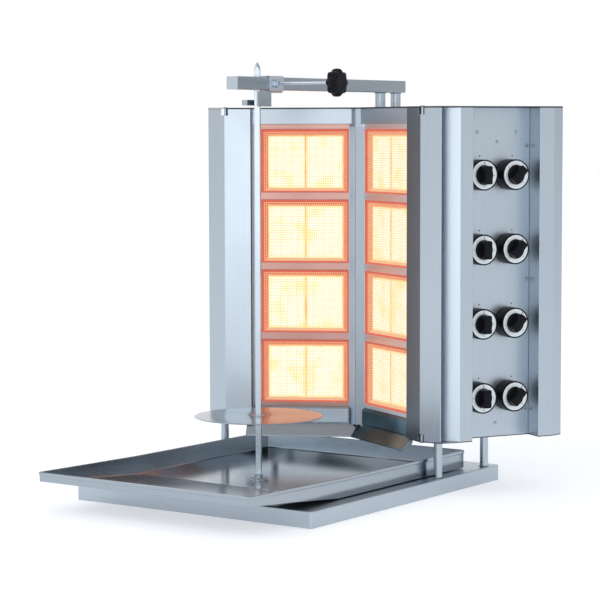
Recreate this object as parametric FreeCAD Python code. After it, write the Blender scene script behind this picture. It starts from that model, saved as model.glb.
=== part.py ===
"""Gas doner grill: a V-shaped burner cabinet on four posts, a base box with a
sliding drip tray, a turning spit on the tray and a clamped guide on the top arm.

Millimetres. X to the right, Y to the back, Z up. The origin is the centre of
the base underside. The two burner banks use their own pair of directions:
s runs along the bank from the inner corner outwards, t runs into the cabinet."""
import FreeCAD, Part
import math
import os

V = FreeCAD.Vector

# Base box and support posts
BASE_W = 620.0
BASE_D = 750.0
BASE_H = 35.0
SHEET = 1.5
THIN = 1.2
POST_X = 294.0
POST_Y = (135.0, 334.0)
POST_R = 9.5

# Drip tray
TRAY_HALF = 274.5
TRAY_BACK = 280.0
TRAY_FOLD = -222.0
TRAY_FRONT = -538.0
TRAY_Z = 37.2
LIP_Z = 64.7
RIM_FRONT = 85.0
RIM_FOLD = 79.0
RIM_BACK = 77.0

# Spit
SPIT_Y = -131.0
SPIT_SIDE = 12.0
SPIT_TURN = 27.0
SPIT_TIP = 944.0
SPIT_ROUND = 8.6
DISC_R = 140.0
DISC_Z = 178.0

# Arm
ARM_Z = 899.0
ARM_SIDE = 28.0
ARM_FRONT = -222.0
ARM_BACK = 440.0
ARM_POST_Y = (352.0, 418.0)
ARM_POST_R = 12.0
SLEEVE_Y = (-108.0, -58.0)
SCREW_Y = -84.0
SCREW_R = 4.0
KNOB_X = 162.0
KNOB_R = 31.0
KNOB_THICK = 26.0

# Cabinet
FLOOR_Z = 115.0
WALL_Z0 = FLOOR_Z + SHEET
TOP_Z = 850.0
WALL_Z1 = TOP_Z - SHEET
CORNER_Y = 247.5
BANK_ANGLE = 28.5
END_S = 304.0
REAR_T = 343.0
REAR_Y = 442.0
REAR_X = 390.0
PLANE_T = 15.0
FIN_S = 239.0
WING_S = 243.0
WING_TIP = (345.5, 28.0)
WING_EDGE = (WING_TIP[0] + 1.2, WING_TIP[1])
HINGE = (302.2, 5.7)
PIN_R = 3.0
PANEL_T = 14.0
VALANCE_T = 9.0
VALANCE_Z = 812.0
GUARD_FRONT = [(END_S, 43), (318, 43), (350, 74), (350, 106), (END_S, 106)]
GUARD_REAR = [(END_S + 1, 279), (349.5, 277), (349.5, 314.6), (338.7, REAR_T), (END_S, REAR_T)]

# Burners
ROWS = 4
GLOW_TOP = 786.5
ROW_PITCH = 162.6
GLOW_H = 123.0
GLOW_S = (30.0, 207.0)
GLOW_T = 28.0
WINDOW_S = (17.0, 220.0)
WINDOW_UP = 14.0
WINDOW_DOWN = 9.0
CASE_T = 75.0
TILE_SPLIT = 118.5

# Controls
VALVE_TOP = 699.5
VALVE_PITCH = 164.0
VALVE_T = (142.2, 223.4)
STEM_R = 4.0
MANIFOLD_S = 251.0
MANIFOLD_Z = 150.0
KNOB_FACE = 32.0
KNOB_ROUND = 34.0


def save(name, shape):
    shape.exportStep("parts/%s.step" % name)


def box(x0, y0, z0, x1, y1, z1):
    return Part.makeBox(x1 - x0, y1 - y0, z1 - z0, V(x0, y0, z0))


def rod(radius, a, b):
    a = V(*a)
    b = V(*b)
    return Part.makeCylinder(radius, (b - a).Length, a, b - a)


def tube(outer, inner, a, b):
    return rod(outer, a, b).cut(rod(inner, a, b))


def face(points):
    return Part.Face(Part.makePolygon(points + points[:1]))


def prism(outline, z0, z1):
    return face([V(x, y, z0) for x, y in outline]).extrude(V(0, 0, z1 - z0))


def fused(shapes):
    return shapes[0].multiFuse(shapes[1:]).removeSplitter()


def group(shapes):
    return Part.makeCompound(shapes)


def folded(path, thick):
    """Outline of a sheet of one thickness folded along an open path."""
    inner = []
    for i, (x, y) in enumerate(path):
        ways = []
        if i > 0:
            ways.append((x - path[i - 1][0], y - path[i - 1][1]))
        if i < len(path) - 1:
            ways.append((path[i + 1][0] - x, path[i + 1][1] - y))
        normals = []
        for dx, dy in ways:
            length = math.hypot(dx, dy)
            normals.append((-dy / length, dx / length))
        nx = sum(n[0] for n in normals) / len(normals)
        ny = sum(n[1] for n in normals) / len(normals)
        scale = thick / (nx * nx + ny * ny)
        inner.append((x + nx * scale, y + ny * scale))
    return list(path) + inner[::-1]


def bank_xy(side, s, t):
    """A place on the right (side 1) or left (side -1) burner bank."""
    a = math.radians(BANK_ANGLE)
    x = s * math.cos(a) + t * math.sin(a)
    y = CORNER_Y - s * math.sin(a) + t * math.cos(a)
    return side * x, y


def bank_point(side, s, t, z):
    x, y = bank_xy(side, s, t)
    return V(x, y, z)


def bank_prism(side, outline, z0, z1):
    return prism([bank_xy(side, s, t) for s, t in outline], z0, z1)


def bank_box(side, s0, t0, z0, s1, t1, z1):
    return bank_prism(side, [(s0, t0), (s1, t0), (s1, t1), (s0, t1)], z0, z1)


def bank_rail(side, profile, s0, s1):
    """A profile of (t, z) corners carried along the bank."""
    start = [bank_point(side, s0, t, z) for t, z in profile]
    way = bank_point(side, s1, 0, 0) - bank_point(side, s0, 0, 0)
    return face(start).extrude(way)


def bank_rod(side, radius, a, b):
    return rod(radius, bank_point(side, *a), bank_point(side, *b))


def bank_rect(side, s0, s1, z0, z1, t):
    corners = [(s0, z0), (s1, z0), (s1, z1), (s0, z1)]
    points = [bank_point(side, s, t, z) for s, z in corners]
    return Part.makePolygon(points + points[:1])


def on_panel(shape, t, z, turn):
    """Place a shape made along +Z so that it stands out from the control panel."""
    out = bank_point(1, 1, 0, 0) - bank_point(1, 0, 0, 0)
    right = bank_point(1, 0, 1, 0) - bank_point(1, 0, 0, 0)
    spin = FreeCAD.Rotation(V(0, 0, 1), turn)
    seat = FreeCAD.Rotation(right, V(0, 0, 1), out, "XYZ")
    moved = shape.copy()
    moved.Placement = FreeCAD.Placement(bank_point(1, END_S, t, z), seat.multiply(spin))
    return moved


def glow_top(row):
    return GLOW_TOP - ROW_PITCH * row


def valve_z(row):
    return VALVE_TOP - VALVE_PITCH * row


def pipe(points, radius, bend):
    """A round pipe along straight runs joined by bends."""
    edges = []
    last = points[0]
    for i in range(1, len(points) - 1):
        here = points[i]
        back = (points[i - 1] - here).normalize()
        ahead = (points[i + 1] - here).normalize()
        a = here + back * bend
        b = here + ahead * bend
        half = back.getAngle(ahead) / 2.0
        centre = here + (back + ahead).normalize() * (bend / math.cos(half))
        middle = centre + (here - centre).normalize() * (bend * math.tan(half))
        edges.append(Part.LineSegment(last, a).toShape())
        edges.append(Part.Arc(a, middle, b).toShape())
        last = b
    edges.append(Part.LineSegment(last, points[-1]).toShape())
    way = points[1] - points[0]
    ring = Part.Wire(Part.makeCircle(radius, points[0], way))
    return Part.Wire(edges).makePipeShell([ring], True, False)


# Base box: a rounded pan turned over, closed below by a flat plate
def base_pan():
    half_w = BASE_W / 2.0
    half_d = BASE_D / 2.0
    body = box(-half_w, -half_d, 0, half_w, half_d, BASE_H)
    upright = [e for e in body.Edges if abs(e.Vertexes[0].Z - e.Vertexes[1].Z) > 1]
    body = body.makeFillet(5.0, upright)
    top = [e for e in body.Edges if min(v.Z for v in e.Vertexes) > BASE_H - 0.1]
    body = body.makeFillet(2.0, top)
    hollow = box(-half_w + SHEET, -half_d + SHEET, 0, half_w - SHEET, half_d - SHEET, BASE_H - SHEET)
    upright = [e for e in hollow.Edges if abs(e.Vertexes[0].Z - e.Vertexes[1].Z) > 1]
    return body.cut(hollow.makeFillet(3.5, upright))


def base_bottom():
    half_w = BASE_W / 2.0 - SHEET - 0.1
    half_d = BASE_D / 2.0 - SHEET - 0.1
    plate = box(-half_w, -half_d, 0, half_w, half_d, SHEET)
    upright = [e for e in plate.Edges if abs(e.Vertexes[0].Z - e.Vertexes[1].Z) > 1]
    return plate.makeFillet(3.4, upright)


def slide_strips():
    strips = []
    for x in (-200.0, 200.0):
        strip = box(x - 10, -360, BASE_H, x + 10, 300, BASE_H + 2.0)
        upright = [e for e in strip.Edges if abs(e.Vertexes[0].Z - e.Vertexes[1].Z) > 1]
        strips.append(strip.makeFillet(8.0, upright))
    return group(strips)


def support_posts():
    posts = []
    for x in (-POST_X, POST_X):
        for y in POST_Y:
            posts.append(tube(POST_R, POST_R - 2, (x, y, BASE_H), (x, y, FLOOR_Z)))
    return group(posts)


# Drip tray: level at the back, rising to a shallow lip, with a hemmed rim
def side_plate(profile, x0, x1):
    return face([V(x0, y, z) for y, z in profile]).extrude(V(x1 - x0, 0, 0))


def drip_tray():
    gap = SHEET
    outer = [(TRAY_BACK, TRAY_Z), (TRAY_FOLD, TRAY_Z), (TRAY_FRONT, LIP_Z),
             (TRAY_FRONT, RIM_FRONT), (TRAY_FOLD, RIM_FOLD), (TRAY_BACK, RIM_BACK)]
    inner = [(TRAY_BACK - gap, TRAY_Z + gap), (TRAY_FOLD, TRAY_Z + gap),
             (TRAY_FRONT + gap, LIP_Z + gap), (TRAY_FRONT + gap, 120), (TRAY_BACK - gap, 120)]
    rim = [(TRAY_BACK + 1.5, RIM_BACK), (TRAY_FOLD, RIM_FOLD), (TRAY_FRONT - 1.5, RIM_FRONT),
           (TRAY_FRONT - 1.5, RIM_FRONT - 7), (TRAY_FOLD, RIM_FOLD - 7), (TRAY_BACK + 1.5, RIM_BACK - 7)]
    shell = side_plate(outer, -TRAY_HALF, TRAY_HALF)
    shell = shell.fuse(side_plate(rim, -TRAY_HALF - 1.5, TRAY_HALF + 1.5))
    shell = shell.cut(side_plate(inner, -TRAY_HALF + gap, TRAY_HALF - gap))
    return shell.removeSplitter()


# Spit, its seat on the tray floor and the plate that carries the meat
SEAT_Z = TRAY_Z + SHEET
SEAT_TOP = SEAT_Z + 12.0
SEAT_SCREW_R = 15.2


def turned(profile, x, y):
    """A solid of revolution about an upright axis from (radius, height) corners."""
    flat = face([V(x + r, y, z) for r, z in profile])
    return flat.revolve(V(x, y, 0), V(0, 0, 1), 360)


def spit_seat():
    profile = [(0, SEAT_Z), (21.5, SEAT_Z), (21.5, SEAT_Z + 3.2), (20.5, SEAT_Z + 4), (9.8, SEAT_Z + 4),
               (9, SEAT_Z + 5), (9, SEAT_TOP), (5.05, SEAT_TOP), (5.05, SEAT_Z + 1.5), (0, SEAT_Z + 1.5)]
    seat = turned(profile, 0, SPIT_Y)
    for i in range(4):
        a = math.radians(45 + 90 * i)
        x = SEAT_SCREW_R * math.cos(a)
        y = SPIT_Y + SEAT_SCREW_R * math.sin(a)
        seat = seat.cut(rod(2.1, (x, y, SEAT_Z - 1), (x, y, SEAT_Z + 8)))
    return seat


def seat_screws():
    screws = []
    for i in range(4):
        a = math.radians(45 + 90 * i)
        x = SEAT_SCREW_R * math.cos(a)
        y = SPIT_Y + SEAT_SCREW_R * math.sin(a)
        shank = rod(2.0, (x, y, SEAT_Z), (x, y, SEAT_Z + 4))
        head = rod(3.6, (x, y, SEAT_Z + 4), (x, y, SEAT_Z + 6.2))
        screws.append(shank.fuse(head).removeSplitter())
    return group(screws)


def square_bar(side, z0, z1):
    half = side / 2.0
    bar = box(-half, -half, z0, half, half, z1)
    bar.rotate(V(0, 0, 0), V(0, 0, 1), SPIT_TURN)
    bar.translate(V(0, SPIT_Y, 0))
    return bar


def spit_rod():
    foot = rod(5, (0, SPIT_Y, SEAT_Z + 1.8), (0, SPIT_Y, SEAT_TOP + 1))
    bar = square_bar(SPIT_SIDE, SEAT_TOP + 0.4, SPIT_TIP + 1)
    shoulder = V(SPIT_ROUND, SPIT_Y, SPIT_TIP - 26)
    belly = V(6.4, SPIT_Y, SPIT_TIP - 11)
    tip = V(0.6, SPIT_Y, SPIT_TIP)
    top = V(0, SPIT_Y, SPIT_TIP)
    low = V(0, SPIT_Y, SEAT_TOP + 0.3)
    side = V(SPIT_ROUND, SPIT_Y, SEAT_TOP + 0.3)
    edges = [Part.Arc(shoulder, belly, tip), Part.LineSegment(tip, top), Part.LineSegment(top, low),
             Part.LineSegment(low, side), Part.LineSegment(side, shoulder)]
    limit = Part.Face(Part.Wire([edge.toShape() for edge in edges])).revolve(top, V(0, 0, 1), 360)
    return foot.fuse(bar.common(limit)).removeSplitter()


def meat_disc():
    profile = [(11.1, DISC_Z), (DISC_R - 1, DISC_Z), (DISC_R, DISC_Z + 1), (DISC_R - 1, DISC_Z + 2),
               (11.1, DISC_Z + 2)]
    return turned(profile, 0, SPIT_Y)


def disc_hub():
    profile = [(0, DISC_Z - 16), (15, DISC_Z - 16), (17, DISC_Z - 14), (24, DISC_Z - 3), (24, DISC_Z),
               (11, DISC_Z), (11, DISC_Z + 2.2), (10.6, DISC_Z + 2.6), (0, DISC_Z + 2.6)]
    return turned(profile, 0, SPIT_Y).cut(square_bar(SPIT_SIDE + 0.1, DISC_Z - 20, DISC_Z + 10))


# Top arm, its two posts, and the clamped guide that steadies the spit
def arm_tube():
    half = ARM_SIDE / 2.0
    outer = box(-half, ARM_FRONT + 2, ARM_Z - half, half, ARM_BACK - 2, ARM_Z + half)
    along = [e for e in outer.Edges if abs(e.Vertexes[0].Y - e.Vertexes[1].Y) > 1]
    outer = outer.makeFillet(2.0, along)
    inner = box(-half + 2, ARM_FRONT, ARM_Z - half + 2, half - 2, ARM_BACK, ARM_Z + half - 2)
    opening = box(-10, SPIT_Y - 20, ARM_Z - half - 1, 10, SPIT_Y + 108, ARM_Z + half + 1)
    return outer.cut(inner).cut(opening)


def arm_caps():
    half = ARM_SIDE / 2.0
    caps = []
    for y in (ARM_FRONT, ARM_BACK - 2):
        cap = box(-half, y, ARM_Z - half, half, y + 2, ARM_Z + half)
        along = [e for e in cap.Edges if abs(e.Vertexes[0].Y - e.Vertexes[1].Y) > 1]
        caps.append(cap.makeFillet(2.0, along))
    return group(caps)


def arm_posts():
    top = ARM_Z - ARM_SIDE / 2.0
    return group([tube(ARM_POST_R, ARM_POST_R - 2, (0, y, WALL_Z0), (0, y, top)) for y in ARM_POST_Y])


def arm_sleeve():
    inner = ARM_SIDE / 2.0 + 0.3
    outer = inner + 2.5
    body = box(-outer, SLEEVE_Y[0], ARM_Z - outer, outer, SLEEVE_Y[1], ARM_Z + outer)
    along = [e for e in body.Edges if abs(e.Vertexes[0].Y - e.Vertexes[1].Y) > 1]
    body = body.makeFillet(2.5, along)
    nut = Part.makePolygon([V(outer - 0.5, SCREW_Y + 9.2 * math.cos(a), ARM_Z + 9.2 * math.sin(a))
                            for a in [math.radians(60 * i + 30) for i in range(7)]])
    body = body.fuse(Part.Face(nut).extrude(V(9, 0, 0)))
    body = body.cut(box(-inner, SLEEVE_Y[0] - 1, ARM_Z - inner, inner, SLEEVE_Y[1] + 1, ARM_Z + inner))
    bore = rod(SCREW_R + 0.05, (inner - 2, SCREW_Y, ARM_Z), (outer + 20, SCREW_Y, ARM_Z))
    return body.cut(bore).removeSplitter()


def spit_fork():
    under = ARM_Z - ARM_SIDE / 2.0 - 0.3 - 2.5
    saddle = box(-12, SLEEVE_Y[0], under - 3, 12.5, SLEEVE_Y[1] + 2, under)
    cheek = box(9.2, -146, 849.5, 12.5, -97, under)
    back = box(-23, -119, 851.5, 12.5, -107, 863.7)
    tine = box(-23, -156, 851.5, -9.2, -107, 863.7)
    return fused([saddle, cheek, back, tine])


def clamp_screw():
    stem = rod(SCREW_R - 0.02, (ARM_SIDE / 2.0 + 0.35, SCREW_Y, ARM_Z), (KNOB_X + 8, SCREW_Y, ARM_Z))
    collar = rod(7, (KNOB_X - 5, SCREW_Y, ARM_Z), (KNOB_X - 2, SCREW_Y, ARM_Z))
    return stem.fuse(collar).removeSplitter()


def clamp_knob():
    end = KNOB_X + KNOB_THICK
    profile = [(KNOB_X - 1.8, 10), (KNOB_X, 11), (KNOB_X, KNOB_R - 3), (KNOB_X + 3, KNOB_R),
               (end - 5, KNOB_R), (end, KNOB_R - 5), (end, 0), (KNOB_X - 1.8, 0)]
    knob = face([V(x, 0, r) for x, r in profile]).revolve(V(0, 0, 0), V(1, 0, 0), 360)
    for i in range(8):
        a = math.radians(45 * i)
        y = 37.5 * math.cos(a)
        z = 37.5 * math.sin(a)
        knob = knob.cut(rod(9.5, (KNOB_X - 5, y, z), (end + 5, y, z)))
    knob = knob.cut(rod(SCREW_R + 0.03, (KNOB_X - 5, 0, 0), (KNOB_X + 8.3, 0, 0)))
    knob.translate(V(0, SCREW_Y, ARM_Z))
    return knob


# Cabinet: top, floor, back, ends and the guards beside the controls
def cabinet_outline(front_right, front_left, right_side):
    points = [bank_xy(1, s, t) for s, t in front_right + right_side]
    points += [(REAR_X, REAR_Y), (-REAR_X, REAR_Y)]
    points += [bank_xy(-1, s, t) for s, t in front_left]
    return points


LEFT_END = [(END_S, REAR_T), (END_S, 60), (WING_EDGE[0], WING_EDGE[1] + 1), WING_EDGE]


def cabinet_top():
    front_right = [(0, 0), (END_S, 0), WING_EDGE]
    front_left = LEFT_END + [(END_S, 0)]
    right = [GUARD_FRONT[2], (350, 314.6)] + GUARD_REAR[3:]
    plate = prism(cabinet_outline(front_right, front_left, right), WALL_Z1, TOP_Z)
    for y in ARM_POST_Y:
        plate = plate.cut(rod(ARM_POST_R + 0.1, (0, y, 800), (0, y, 900)))
    for side in (-1, 1):
        plate = plate.cut(bank_rod(side, PIN_R + 0.05, (*HINGE, 800), (*HINGE, 900)))
        for i in range(9):
            x = side * (90 + 24 * i)
            plate = plate.cut(box(x - 4, 396, 800, x + 4, 426, 900))
    return plate


def cabinet_floor():
    back_t = PLANE_T + 3
    front_right = [(8, back_t), (262, back_t), (262, 0), (END_S, 0), WING_EDGE]
    front_left = LEFT_END + [(END_S, 0), (262, 0), (262, back_t), (8, back_t)]
    right = GUARD_FRONT[2:] + [(END_S, 279)] + GUARD_REAR[1:]
    plate = prism(cabinet_outline(front_right, front_left, right), FLOOR_Z, WALL_Z0)
    for side in (-1, 1):
        plate = plate.cut(bank_rod(side, PIN_R + 0.05, (*HINGE, 100), (*HINGE, 130)))
        for i in range(8):
            s = 60 + 24 * i
            plate = plate.cut(bank_box(side, s - 4, 100, 100, s + 4, 130, 130))
    return plate


def cabinet_back():
    right_end = bank_xy(1, END_S - 1, REAR_T)
    left_end = bank_xy(-1, END_S - 1, REAR_T)
    path = [right_end, (REAR_X, REAR_Y), (-REAR_X, REAR_Y), left_end]
    wall = prism(folded(path, THIN), WALL_Z0, WALL_Z1)
    for i in range(9):
        for x in (-250, 0, 250):
            z = 560 + 24 * i
            wall = wall.cut(box(x - 55, REAR_Y - 5, z, x + 55, REAR_Y + 5, z + 6))
    x, y = bank_xy(1, MANIFOLD_S, VALVE_T[1])
    return wall.cut(rod(12, (x, REAR_Y - 5, MANIFOLD_Z), (x, REAR_Y + 5, MANIFOLD_Z)))


def end_panel_left():
    return bank_box(-1, END_S - SHEET, PANEL_T, WALL_Z0, END_S, REAR_T - 2, WALL_Z1)


PANEL_SCREWS = [(142.5, 793.5), (242.5, 793.5), (193.5, 772.5), (268.5, 763.5), (268.5, 466.0),
                (268.5, 171.0), (192.5, 146.5)]


def control_panel():
    panel = bank_box(1, END_S - SHEET, PANEL_T, WALL_Z0, END_S, REAR_T - 2, WALL_Z1)
    for row in range(ROWS):
        for t in VALVE_T:
            z = valve_z(row)
            panel = panel.cut(bank_rod(1, 6, (END_S - 5, t, z), (END_S + 5, t, z)))
    for t, z in PANEL_SCREWS:
        panel = panel.cut(bank_rod(1, 1.8, (END_S - 5, t, z), (END_S + 5, t, z)))
    return panel


def guard_front():
    return bank_prism(1, folded(GUARD_FRONT, THIN), WALL_Z0, WALL_Z1)


def guard_rear():
    return bank_prism(1, folded(GUARD_REAR, THIN), WALL_Z0, WALL_Z1)


# Front frame of a bank: corner stile, recessed burner wall, outer fin, valance
def bank_frame(side):
    path = [(0.7, 0), (15, PLANE_T), (END_S - SHEET - 0.2, PLANE_T)]
    outline = folded(path, SHEET)
    frame = bank_prism(side, outline, WALL_Z0, WALL_Z1)
    fin = bank_box(side, FIN_S, 2.5, WALL_Z0, FIN_S + 1.2, PLANE_T + 0.5, WALL_Z1)
    profile = [(VALANCE_T, WALL_Z1), (VALANCE_T, VALANCE_Z), (PLANE_T + 0.5, VALANCE_Z),
               (PLANE_T + 0.5, VALANCE_Z + THIN), (VALANCE_T + THIN, VALANCE_Z + THIN),
               (VALANCE_T + THIN, WALL_Z1)]
    valance = bank_rail(side, profile, VALANCE_T + 0.6, FIN_S + 0.5)
    frame = fused([frame, fin, valance])
    for row in range(ROWS):
        low = glow_top(row) - GLOW_H - WINDOW_DOWN
        high = glow_top(row) + WINDOW_UP
        frame = frame.cut(bank_box(side, WINDOW_S[0], 5, low, WINDOW_S[1], 20, high))
    return frame


# Lower drip apron: ledge, upright band, and a sloped lip mitred at the inner corner
LIP = [(4.5, 113), (-17, 92), (-17, 90), (-16, 90), (-15.6, 91.6), (5.5, 112.4)]


def apron(side):
    t0 = PLANE_T - 0.1
    band = [(t0, 158), (8.5, 152), (8.5, 121), (11, 119)] + LIP
    band += [(12.6, 119), (12.6, 119.6), (9.7, 121.6), (9.7, 151.4), (t0, 156.3)]
    lip = [(7.7, 116)] + LIP + [(9.3, 116)]
    beyond = box(-60, 0, 80, 0.4, 400, 130) if side > 0 else box(-0.4, 0, 80, 60, 400, 130)
    upper = bank_rail(side, band, 16.5, FIN_S - 0.6)
    inner = bank_rail(side, lip, -8, 17).cut(beyond)
    outer = bank_rail(side, lip, FIN_S - 1, 255)
    end = bank_rail(side, [(5.5, 112.4), (9.2, 116), (9.2, 106), (-15, 91.6)], 253.8, 255)
    return fused([upper, inner, outer, end])


# Wings: folded corner flaps that swing forward on upright pins
def wing(side):
    path = [(WING_S, 0), (END_S, 0), WING_TIP]
    flap = bank_prism(side, folded(path, THIN), WALL_Z0 + 1, WALL_Z1 - 1)
    hem = bank_prism(side, [(WING_TIP[0], WING_TIP[1]), (WING_TIP[0] - 1.5, WING_TIP[1] + 2.3),
                            (WING_TIP[0] - 6, WING_TIP[1] - 0.8), (WING_TIP[0] - 4.5, WING_TIP[1] - 3.0)],
                     WALL_Z0 + 1, WALL_Z1 - 1)
    flap = flap.fuse(hem)
    reach = [(END_S - 9, -3), (END_S + 3, -3), (END_S + 9, 8), (END_S - 9, 12)]
    flap = flap.cut(bank_prism(side, reach, WALL_Z1 - 16, WALL_Z1))
    flap = flap.cut(bank_prism(side, reach, WALL_Z0, WALL_Z0 + 16))
    gusset = [(284, 0.6), (END_S - 0.3, 0.6), (318, 10.2), (310, 9.4), (306, 10.2),
              (302.2, 11.4), (297.5, 9.5)]
    for z in (WALL_Z1 - 17.2, WALL_Z0 + 16):
        plate = bank_prism(side, gusset, z, z + 1.2)
        flap = flap.fuse(plate)
    flap = flap.cut(bank_rod(side, PIN_R + 0.05, (*HINGE, 100), (*HINGE, 900)))
    return flap.removeSplitter()


def wing_pins():
    pins = []
    for side in (-1, 1):
        upper = bank_rod(side, PIN_R, (*HINGE, WALL_Z1 - 22), (*HINGE, TOP_Z))
        upper = upper.fuse(bank_rod(side, 4.5, (*HINGE, TOP_Z), (*HINGE, TOP_Z + 1.5)))
        lower = bank_rod(side, PIN_R, (*HINGE, FLOOR_Z), (*HINGE, WALL_Z0 + 22))
        lower = lower.fuse(bank_rod(side, 4.5, (*HINGE, FLOOR_Z - 1.5), (*HINGE, FLOOR_Z)))
        pins += [upper.removeSplitter(), lower.removeSplitter()]
    return group(pins)


# Burners: a flanged hopper and box, ceramic tiles, a wire guard and a mixing tube
def burner_case(side, row):
    z1 = glow_top(row)
    z0 = z1 - GLOW_H
    s0, s1 = GLOW_S
    w0, w1 = WINDOW_S
    t0 = PLANE_T + SHEET
    low = z0 - WINDOW_DOWN
    high = z1 + WINDOW_UP
    flange = bank_box(side, w0 - 3, t0, low - 4, w1 + 5, t0 + 1.2, high + 4)
    outer = Part.makeLoft([bank_rect(side, w0 - 1, w1 + 1, low - 1, high + 1, t0),
                           bank_rect(side, s0 - 1, s1 + 1, z0 - 1, z1 + 1, GLOW_T)], True)
    inner = Part.makeLoft([bank_rect(side, w0, w1, low, high, t0),
                           bank_rect(side, s0, s1, z0, z1, GLOW_T)], True)
    body = bank_box(side, s0 - 1, GLOW_T, z0 - 1, s1 + 1, CASE_T, z1 + 1)
    hollow = bank_box(side, s0, GLOW_T, z0, s1, CASE_T - 1, z1)
    middle = (s0 + s1) / 2.0
    z = valve_z(row)
    throat = bank_rod(side, 10, (middle, CASE_T - 0.5, z), (middle, 110, z))
    bore = bank_rod(side, 8.5, (middle, CASE_T - 5, z), (middle, 111, z))
    solid = fused([flange.cut(inner), outer, body, throat])
    return solid.cut(inner).cut(hollow).cut(bore)


def tiles(side):
    parts = []
    for row in range(ROWS):
        z1 = glow_top(row) - 0.3
        z0 = z1 - GLOW_H + 0.6
        for s0, s1 in ((GLOW_S[0] + 0.3, TILE_SPLIT - 0.7), (TILE_SPLIT + 0.7, GLOW_S[1] - 0.3)):
            parts.append(bank_box(side, s0, GLOW_T + 0.5, z0, s1, GLOW_T + 13.5, z1))
    return group(parts)


def wire_guard(side):
    wires = []
    for row in range(ROWS):
        z1 = glow_top(row) + 7.2
        z0 = glow_top(row) - GLOW_H - 4.6
        for i in range(10):
            s = 24 + 21 * i
            wires.append(bank_box(side, s - 0.4, 21.2, z0, s + 0.4, 22.0, z1))
        for i in range(7):
            z = z0 + 1 + (z1 - z0 - 2) / 6.0 * i
            wires.append(bank_box(side, 22.8, 20.4, z - 0.4, 214.2, 21.2, z + 0.4))
    return group(wires)


# Gas train: risers, taps, pipes to the injectors
def gas_manifold():
    top = valve_z(0) + 22
    inlet_x, inlet_y = bank_xy(1, MANIFOLD_S, VALVE_T[1])
    parts = []
    for t in VALVE_T:
        parts.append(bank_rod(1, 10, (MANIFOLD_S, t, MANIFOLD_Z), (MANIFOLD_S, t, top)))
        parts.append(Part.makeSphere(10, bank_point(1, MANIFOLD_S, t, MANIFOLD_Z)))
    near, far = VALVE_T
    parts.append(bank_rod(1, 10, (MANIFOLD_S, near, MANIFOLD_Z), (MANIFOLD_S, far, MANIFOLD_Z)))
    parts.append(rod(10, (inlet_x, inlet_y, MANIFOLD_Z), (inlet_x, REAR_Y + 4, MANIFOLD_Z)))
    parts.append(rod(10.48, (inlet_x, REAR_Y + 4, MANIFOLD_Z), (inlet_x, REAR_Y + 20, MANIFOLD_Z)))
    train = fused(parts)
    return train.cut(rod(7.5, (inlet_x, REAR_Y - 60, MANIFOLD_Z), (inlet_x, REAR_Y + 21, MANIFOLD_Z)))


def gas_valves():
    taps = []
    for row in range(ROWS):
        z = valve_z(row)
        for t in VALVE_T:
            body = bank_box(1, MANIFOLD_S + 10, t - 11, z - 11, END_S - 8, t + 11, z + 11)
            nose = bank_rod(1, 8, (END_S - 8, t, z), (END_S - SHEET - 0.1, t, z))
            tap = body.fuse(nose).removeSplitter()
            taps.append(tap.cut(bank_rod(1, STEM_R + 0.05, (MANIFOLD_S + 14, t, z), (END_S, t, z))))
    return group(taps)


def gas_pipes():
    pipes = []
    middle = (GLOW_S[0] + GLOW_S[1]) / 2.0
    for row in range(ROWS):
        z = valve_z(row)
        near = VALVE_T[0] + 11
        far = VALVE_T[1] + 11
        short = [bank_point(1, 280, near, z), bank_point(1, 280, near + 20, z),
                 bank_point(1, middle, near + 20, z), bank_point(1, middle, 120, z)]
        long_way = [bank_point(1, 280, far, z), bank_point(1, 280, far + 16, z), V(250, 388, z),
                    V(-160, 388, z), bank_point(-1, middle, 168, z), bank_point(-1, middle, 120, z)]
        for side, way in ((1, short), (-1, long_way)):
            run = pipe(way, 4, 9)
            jet = bank_rod(side, 7, (middle, 112, z), (middle, 124, z))
            pipes.append(run.fuse(jet).removeSplitter())
    return group(pipes)


def panel_screws():
    screws = []
    for t, z in PANEL_SCREWS:
        shank = Part.makeCylinder(1.75, 5, V(0, 0, -5))
        head = Part.makeCone(3.6, 2.2, 1.8)
        screws.append(on_panel(shank.fuse(head).removeSplitter(), t, z, 0))
    for z in (763, 466, 173):
        tail = bank_point(1, 314.5, 278.4, z)
        out = bank_point(1, 314.42, 276.6, z) - tail
        screws.append(Part.makeCone(3.6, 2.2, 1.8, tail, out))
    return group(screws)


def valve_stem(row, column):
    z = valve_z(row)
    t = VALVE_T[column]
    return bank_rod(1, STEM_R, (MANIFOLD_S + 19, t, z), (END_S + 27, t, z))


def rectangle(x0, y0, x1, y1, z):
    corners = [V(x0, y0, z), V(x1, y0, z), V(x1, y1, z), V(x0, y1, z)]
    return Part.makePolygon(corners + corners[:1])


def knob_grip(high):
    """A blade across the face of a knob, a little narrower towards the hand."""
    blade = Part.makeLoft([rectangle(-8, -22, 8, 22, high), rectangle(-6.5, -19, 6.5, 20, high + 20)], True)
    blade = blade.common(Part.makeCylinder(21.8, 30, V(0, 0, high - 2)))
    upper = [e for e in blade.Edges if min(v.Z for v in e.Vertexes) > high + 19.9]
    return blade.makeFillet(1.5, upper)


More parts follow.
